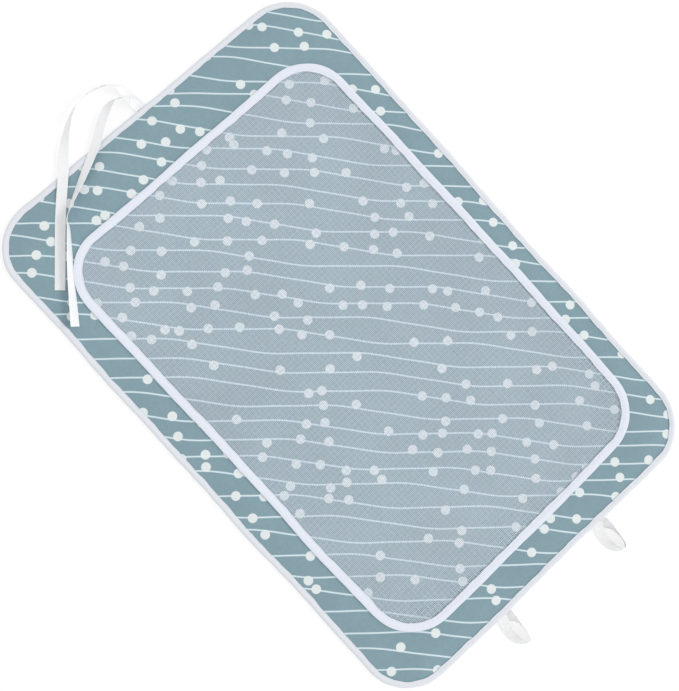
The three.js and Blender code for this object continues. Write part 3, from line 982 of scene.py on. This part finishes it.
def seam(name, edge, upward):
    """All stitches of one seam: a bent spindle repeated along the outline at the seam's inset."""
    t = np.linspace(0, 1, STITCH_RINGS)
    spin = np.arange(THREAD_SIDES) / THREAD_SIDES * 2 * math.pi
    shares = (np.arange(edge.stitches)[:, None] + (t - 0.5) * STITCH_SHARE) / edge.stitches
    points, out = (
        array.reshape(*shares.shape, 1, 2) for array in round_rectangle(shares.ravel(), *edge.outline)
    )
    bulge = np.sin(math.pi * t)[:, None]
    thick = THREAD_RADIUS * (THREAD_END_SHARE + (1 - THREAD_END_SHARE) * bulge)
    plan = points - out * (edge.seam + thick * np.cos(spin))[..., None]
    dip = END_DIP * (1 - bulge) + CHANNEL_DEPTH * SUNK_SHARE
    surface = edge.floor + (edge.height if upward > 0 else 0)
    rings = raised(edge.moved(plan), surface + upward * (thick * np.sin(spin) - dip))
    faces = many_tubes(edge.stitches, STITCH_RINGS, THREAD_END)
    fitted(new_piece(f"{name}_stitches", rings, faces, THREAD), f"{name}_thread", edge.body)


for whose, edge in (("pad", PAD_EDGE), ("cloth", CLOTH_EDGE)):
    seam(f"{whose}_needle", edge, 1)
    seam(f"{whose}_bobbin", edge, -1)

# %% [markdown]
# ## The net
#
# The pressing cloth's middle is a net: single threads not quite two millimetres apart, every
# third one stouter, so that the print can be seen through it. A sheet with a see-through picture
# of a net would be quick, but real threads cast real shadows on the cover and look right from
# close by, so each thread is a thin square bar of its own. Warp threads run across the cloth and
# weft threads along it, one set just above the other. The whole net wavers a little, and it sags
# from the tape on to the cover. Real thread is thinner than these bars, so they are a little
# see-through, and more so for the light that falls through them on to the print.

# %% Net
NET_PITCH = 1.8 * MM
NET_THREAD = 0.37 * MM
STOUT_EVERY = 3
STOUT = 1.7
NET_STEPS = 40
NET_GRIP = 0.8 * MM
NET_SAG_RUN = 14 * MM
NET_REST = 0.32 * MM
NET_UNEVEN = 0.28 * MM
UNEVEN_RUN = (0.05, 0.16)
NET_LIFT = 0.14 * MM
NET_DRIFT = 0.5 * MM
DRIFT_RUN = (0.09, 0.3)
NET_STRAY = 0.09 * MM
NET_COVER = 0.55
NET_SHADE = 0.3
NET_COLOUR = linear(235, 243, 250)
NET_GRAIN = 2500
NET_DEPTH = 0.04 * MM


def net_height(flat):
    """Where the net hangs: at the tape's middle height near the tape, and sagging away from it."""
    inset = inset_of(flat, *CLOTH_OUTLINE)
    hung = np.exp(-np.maximum(inset - CLOTH_TAPE_WIDTH, 0) / NET_SAG_RUN)
    rest = PAD_TOP + NET_REST + np.abs(undulation(flat, 31, NET_UNEVEN, *UNEVEN_RUN))
    gripped = CLOTH_FLOOR + CLOTH_HEIGHT / 2
    return rest + (gripped - rest) * hung


def thread_lines(crosswise):
    """The middle line of every thread of one set, as threads by steps by x and y.

    Each thread runs from edge to edge of the cloth's outline, drawn in to the middle of the tape:
    its half length shrinks in the round corners as a circle does."""
    length, width, radius = CLOTH_OUTLINE
    grip = CLOTH_HEIGHT / 2 + NET_GRIP
    span, depth = (width, length) if crosswise else (length, width)
    count = int((depth - 2 * grip) / NET_PITCH)
    seat = (np.arange(count) - (count - 1) / 2) * NET_PITCH
    past = np.maximum(np.abs(seat) - (depth / 2 - radius), 0)
    reach = span / 2 - radius + np.sqrt(np.maximum((radius - grip) ** 2 - past**2, 0))
    run = np.linspace(-1, 1, NET_STEPS)[None, :] * reach[:, None]
    seat = np.broadcast_to(seat[:, None], run.shape)
    return np.stack([seat, run] if crosswise else [run, seat], -1)


def net_threads():
    """All threads as square bars: four corners round each point of each middle line."""
    corner = np.array([[-1, -1], [1, -1], [1, 1], [-1, 1]]) * NET_THREAD / 2
    blocks, faces, total = [], [], 0
    draw = np.random.default_rng(41)
    for crosswise, lift in ((True, NET_LIFT), (False, -NET_LIFT)):
        line = thread_lines(crosswise)
        side = np.array([1.0, 0.0] if crosswise else [0.0, 1.0])
        drift = undulation(line, 51 + crosswise, NET_DRIFT, *DRIFT_RUN)
        stray = draw.normal(0, NET_STRAY, (len(line), 1))
        line = line + side * (drift + stray)[..., None]
        stout = np.where(np.arange(len(line)) % STOUT_EVERY == 0, STOUT, 1)[:, None, None]
        plan = line[:, :, None] + side * (stout * corner[:, 0])[..., None]
        z = (net_height(line) + lift)[..., None] + corner[:, 1]
        blocks.append(raised(cloth_to_pad(plan), z).reshape(-1, 3))
        bars = total + many_tubes(len(line), NET_STEPS, [[0, 1, 2, 3]])
        faces.append(bars if crosswise else bars[:, ::-1])
        total += len(blocks[-1])
    return np.concatenate(blocks), np.concatenate(faces)


def net_fibre():
    """Polyester thread: pale and smooth. It lets light through, so it shades less than it covers."""
    material, tree = new_material("net thread")
    place = object_place(tree)
    (shade,) = placed(tree, MOTTLE, Vector=place, Amount=0.12)
    shadow = wire(tree, "ShaderNodeLightPath", "Is Shadow Ray")
    return finished(
        material, shaded(NET_COLOUR, shade), Alpha=between(shadow, NET_COVER, NET_SHADE),
        Normal=bump(noise(place, NET_GRAIN, 2), NET_DEPTH),
        Roughness=0.5, Specular_IOR_Level=0.4, Sheen_Weight=0.1,
    )


net = new_piece("pressing_net", *net_threads(), net_fibre(), smooth=False)
fitted(net, "cloth_net", "pressing_cloth")
net_width, net_length = CLOTH_WIDTH - 2 * CLOTH_HEIGHT, CLOTH_LENGTH - 2 * CLOTH_HEIGHT
net_width * net_length - (4 - math.pi) * CLOTH_RADIUS**2

# %% [markdown]
# ## The ribbons
#
# The ties and the loops are woven ribbon, twelve millimetres wide. A ribbon bends easily out of
# its own plane but not within it, so where it turns a corner it stands up on its edge. Its route
# is a list of stops: place, height of the lower edge, and twist, from flat to upright. A smooth
# curve runs through the stops, and the ribbon's section is carried along it, a little cupped,
# with a slightly thicker selvedge down each side. Twist and edge follow the same curve.

# %% Ribbon
RIBBON_WIDTH = 12 * MM
RIBBON_WALL = 0.42 * MM
RIBBON_REST = PAD_TOP + 0.55 * MM
RIBBON_STEP = 0.9 * MM
LEAST_STEPS = 8
STEPS_PER_STOP = 60
RIBBON_SHARES = np.array([-1, -0.93, -0.84, -0.5, 0, 0.5, 0.84, 0.93, 1])
SELVEDGE_SHARE = 0.93
SELVEDGE_SPREAD = 0.06
SELVEDGE_RISE = 0.35
RIBBON_EDGE = 0.5
CUP = 0.1 * MM
CUP_MIDDLE = 0.35
RIB = 0.8 * MM
RIB_SHARE = 0.3
# painted shade of the ribs: how much lighter a crest and darker a trough is in colour
RIB_PAINTED_SHADE = 0.018
RIBBON_PITCH = 0.3 * MM
RIBBON_DEPTH = 0.06 * MM
QUARTER = math.pi / 2


def smooth_route(stops, count):
    """Points on a smooth curve through the stops, evenly spaced in the stop number.

    Between two stops each value is a cubic whose slopes at its ends are half the difference of
    the stops on either side."""
    stops = np.asarray(stops, float)
    padded = np.concatenate([2 * stops[:1] - stops[1:2], stops, 2 * stops[-1:] - stops[-2:-1]])
    t = np.linspace(0, len(stops) - 1, count)
    k = np.minimum(t.astype(int), len(stops) - 2)
    u = (t - k)[:, None]
    a, b, c, d = (padded[k + i] for i in range(4))
    return b + 0.5 * u * (c - a + u * (2 * a - 5 * b + 4 * c - d + u * (3 * (b - c) + d - a)))


def run_along(points):
    """How far along a line of points each of them lies."""
    return np.concatenate([[0], np.linalg.norm(np.diff(points, axis=0), axis=1).cumsum()])


def even_route(stops):
    """The same route, spaced evenly by length."""
    fine = smooth_route(stops, STEPS_PER_STOP * len(stops))
    run = run_along(fine[:, :2])
    even = np.linspace(0, run[-1], max(LEAST_STEPS, int(run[-1] / RIBBON_STEP)))
    return np.stack([np.interp(even, run, fine[:, i]) for i in range(4)], -1)


def ribbon_rings(stops):
    """The ribbon's section at each step of its route, as steps by points by x, y and z.

    The middle lies half a width times the sine of the twist above the lower edge. Across, the
    section turns from level to upright by the twist; the wall lies square to it."""
    x, y, edge, twist = even_route(stops).T
    middle = np.stack([x, y, edge + RIBBON_WIDTH / 2 * np.abs(np.sin(twist))], -1)
    ahead = np.gradient(middle, axis=0)
    ahead /= np.linalg.norm(ahead, axis=1)[:, None]
    level = np.cross([0, 0, 1.0], ahead)
    level /= np.linalg.norm(level, axis=1)[:, None]
    across = level * np.cos(twist)[:, None] + np.cross(ahead, level) * np.sin(twist)[:, None]
    outward = np.cross(ahead, across)
    beside = (np.abs(RIBBON_SHARES) - SELVEDGE_SHARE) / SELVEDGE_SPREAD
    half_wall = (1 + SELVEDGE_RISE * np.exp(-(beside**2))) * RIBBON_WALL / 2
    half_wall[[0, -1]] = RIBBON_EDGE * RIBBON_WALL / 2
    cup = CUP * (RIBBON_SHARES**2 - CUP_MIDDLE)
    width = np.concatenate([RIBBON_SHARES, RIBBON_SHARES[::-1]]) * RIBBON_WIDTH / 2
    height = np.concatenate([cup + half_wall, (cup - half_wall)[::-1]])
    rings = middle[:, None] + across[:, None] * width[:, None] + outward[:, None] * height[:, None]
    return rings, np.stack(np.broadcast_arrays(run_along(middle)[:, None], width), -1)


def ribbon_piece(name, node, rings, place):
    """A closed mesh over the rings, with flat caps where the ribbon is cut."""
    piece = new_piece(name, rings, flat_tube(*rings.shape[:2]), RIBBON, place)
    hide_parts(node)
    length = float(place[-1, 0, 0] - place[0, 0, 0])
    print(name, round(length / MM), "mm long")
    return piece


def twill_ribbon():
    """Woven ribbon: fine ribs across with a slanting step."""
    material, tree = new_material("woven ribbon")
    place = cloth_place(tree)
    along, across = along_across(place)
    rib = maths("SINE", (along + abs(across)) * (2 * math.pi / RIB))
    height, _ = placed(tree, WEAVE, Vector=place, Pitch=RIBBON_PITCH)
    (shade,) = placed(tree, MOTTLE, Vector=object_place(tree), Amount=0.05)
    # painted shade: each rib is lighter on its crest and darker in its trough
    return finished(
        material, shaded(linear(241, 242, 243), rib * RIB_PAINTED_SHADE + shade),
        Normal=bump(rib * RIB_SHARE + height, RIBBON_DEPTH),
        Roughness=0.62, Specular_IOR_Level=0.35, Sheen_Weight=0.3,
        Subsurface_Weight=0.8, Subsurface_Radius=(1, 1, 1), Subsurface_Scale=0.5 * MM,
    )


RIBBON = twill_ribbon()
print("ribbon lies at", round(RIBBON_REST / MM, 2), "mm")

# %% [markdown]
# ## The ties
#
# Both ties are sewn in at one place, the inner one on the outer one. Each goes out past the edge
# in an arch, standing on its edge at the far side, comes back over the pad and ends in a straight
# tail beside the cloth's corner. The outer tail lies flat. The inner one turns over on its way
# and leans against the cloth. The stops are shares of each arch's reach and span.

# %% Tie routes
EDGE_GAP = 0.3 * MM
EDGE_X = PAD_LENGTH / 2 + EDGE_GAP
ROOT_TUCK = 1.6 * MM
ARCH_RISE = 3 * MM
OUTER_ARCH_SHARES = [
    (0, 0, 0, 0), (0.11, 0, 0, 0), (0.31, 0.002, 0, 0.03), (0.49, 0.014, 0.05, 0.16),
    (0.69, 0.048, 0.3, 0.54), (0.857, 0.125, 0.8, 0.84), (0.933, 0.227, 1, 0.88),
    (0.963, 0.335, 1, 0.84), (0.93, 0.46, 0.9, 0.8), (0.84, 0.565, 0.75, 0.7),
    (0.69, 0.672, 0.55, 0.55), (0.495, 0.785, 0.35, 0.36), (0.27, 0.89, 0.15, 0.16), (0, 1, 0, 0.04),
]
INNER_ARCH_SHARES = [
    (0, 0, 0, 0), (0.22, 0.006, 0.12, 0.08), (0.56, 0.05, 0.45, 0.5), (0.835, 0.136, 0.8, 0.86),
    (0.911, 0.253, 1, 0.66), (0.855, 0.41, 0.9, 0.36), (0.6, 0.6, 0.6, 0.25), (0.27, 0.785, 0.3, 0.22),
    (-0.08, 0.965, 0, 0.28),
]
OUTER = {"root": (-0.3 * MM, -0.4 * MM), "reach": 49.7 * MM, "span": 115 * MM, "bearing": math.radians(-41.5)}
INNER = {"root": (-2.6 * MM, 0.4 * MM), "reach": 24.7 * MM, "span": 68 * MM, "bearing": math.radians(-38.8)}
LEAN = 1.31
LEAN_REACH = RIBBON_WIDTH / 2 * abs(math.cos(LEAN * QUARTER))
CLOTH_CLEARANCE = 0.8 * MM
TAILS_APART = 3.6 * MM
INNER_DISTANCE = CLOTH_RADIUS + CLOTH_CLEARANCE + LEAN_REACH
OUTER_DISTANCE = INNER_DISTANCE + LEAN_REACH + TAILS_APART + RIBBON_WIDTH / 2
INNER_TAIL = [
    (-68 * MM, 0.86, 0), (-51.7 * MM, 1.08, 0), (-27.2 * MM, 1.22, 0),
    (0, LEAN, 0), (30.25 * MM, 1.41, 1.2 * MM), (60.5 * MM, 1.5, 2.4 * MM),
]
OUTER_TAIL = [(-62 * MM, 0, 0), (0, 0, 0), (21.5 * MM, 0, 0)]
CROSSING_TWIST_SHARE = 0.3


def arch_stops(tie, shares):
    """The arch's stops: place from the reach and the span, height from the rim up to the pad's top."""
    root_y, root_lift = tie["root"]
    root_height = RIM_HEIGHT / 2 + root_lift
    stops = [(-EDGE_X + ROOT_TUCK, root_y, root_height, 0)]
    for out, along, rise, twist in shares:
        edge = root_height + (RIBBON_REST - root_height) * along + ARCH_RISE * rise
        stops.append((-EDGE_X - tie["reach"] * out, root_y - tie["span"] * along, edge, twist * QUARTER))
    return stops


def tail_stops(tie, distance, tail):
    """Stops on a straight line that passes the middle of the cloth's round corner at a distance.

    Each has how far past that middle it lies, its twist, and how far it swerves to the cloth."""
    corner = laid(np.array([CLOTH_RADIUS - CLOTH_LENGTH / 2, CLOTH_RADIUS - CLOTH_WIDTH / 2]))
    ahead = bearing(tie["bearing"])
    aside = np.array([ahead[1], -ahead[0]])
    return [
        (*(corner + aside * (distance - swerve) + ahead * past), RIBBON_REST, twist * QUARTER)
        for past, twist, swerve in tail
    ]


outer_stops = arch_stops(OUTER, OUTER_ARCH_SHARES) + tail_stops(OUTER, OUTER_DISTANCE, OUTER_TAIL)
inner_stops = arch_stops(INNER, INNER_ARCH_SHARES)
inner_tail = tail_stops(INNER, INNER_DISTANCE, INNER_TAIL)
crossing, knee = np.array(inner_stops[-1]), np.array(inner_tail[0])
halfway = (crossing + knee) / 2
halfway[3] = crossing[3] + CROSSING_TWIST_SHARE * (knee[3] - crossing[3])
inner_stops += [tuple(halfway), *inner_tail]
print("stops:", len(outer_stops), "and", len(inner_stops))

# %% [markdown]
# A tie bends at its root when it is lifted, over about fifteen millimetres. The inner tie lies on
# the outer one, and its first stretch is a piece of its own, split from the rest.

# %% Ties
INNER_SPLIT = 13.5 * MM


def slanting(piece):
    """Bakes the piece's placing into its own points."""
    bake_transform(piece)


outer_tie = ribbon_piece("outer_tie_ribbon", "outer_tie", *ribbon_rings(outer_stops))
slanting(outer_tie)

rings, place = ribbon_rings(inner_stops)
split = int(np.searchsorted(place[:, 0, 0], INNER_SPLIT + ROOT_TUCK))
inner_root = ribbon_piece("inner_tie_root", "inner_tie", rings[: split + 1], place[: split + 1])
inner_tie = ribbon_piece("inner_tie_ribbon", "inner_tie", rings[split:], place[split:])
slanting(inner_root)
slanting(inner_tie)

# %% [markdown]
# ## The hanging loops
#
# Each loop is one short length of the same ribbon with both ends sewn in at one place, one on the
# other. It lies on its side, so the ribbon stands on its edge round the tip.

# %% Hanging loops
LOOP_REACH = 41 * MM
LOOP_HALF_SPREAD = 8.8 * MM
LOOP_ROOT_SPACING = 1.2 * MM
LOOP_FLOOR = 0.25 * MM
LOOP_YS = {"far": 75.5 * MM, "near": -81.3 * MM}
LOOP_SHARES = [
    (0, -0.46, 0, 1), (0.07, -0.46, 0, 1), (0.22, -0.74, 0.08, 0.6), (0.4, -1, 0.18, 0.1),
    (0.62, -1.02, 0.3, 0), (0.83, -0.78, 0.52, 0), (0.99, -0.25, 0.7, 0), (1.03, 0.22, 0.78, 0),
    (0.93, 0.64, 0.86, 0), (0.69, 0.82, 0.94, 0), (0.43, 0.78, 1.08, 0.1), (0.22, 0.62, 1.5, 0.6),
    (0.07, 0.46, 2, 1), (0, 0.46, 2, 1),
]


def loop_stops(root_y):
    """The loop's stops: out from the upper end, round the tip and back to the lower end."""
    stops = []
    for i, (out, aside, twist, kept) in enumerate(LOOP_SHARES):
        lift = LOOP_ROOT_SPACING / 2 if i < len(LOOP_SHARES) / 2 else -LOOP_ROOT_SPACING / 2
        edge = LOOP_FLOOR + (RIM_HEIGHT / 2 + lift - LOOP_FLOOR) * kept
        place = (EDGE_X + out * (LOOP_REACH - EDGE_GAP), root_y + aside * LOOP_HALF_SPREAD)
        stops.append((*place, edge, twist * QUARTER))
    tucked = [(x - ROOT_TUCK, *rest) for x, *rest in (stops[0], stops[-1])]
    return [tucked[0], *stops, tucked[1]]


for side, root_y in LOOP_YS.items():
    rings, place = ribbon_rings(loop_stops(root_y))
    loop = ribbon_piece(f"{side}_loop_ribbon", f"{side}_hanging_loop", rings, place)
    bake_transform(loop)
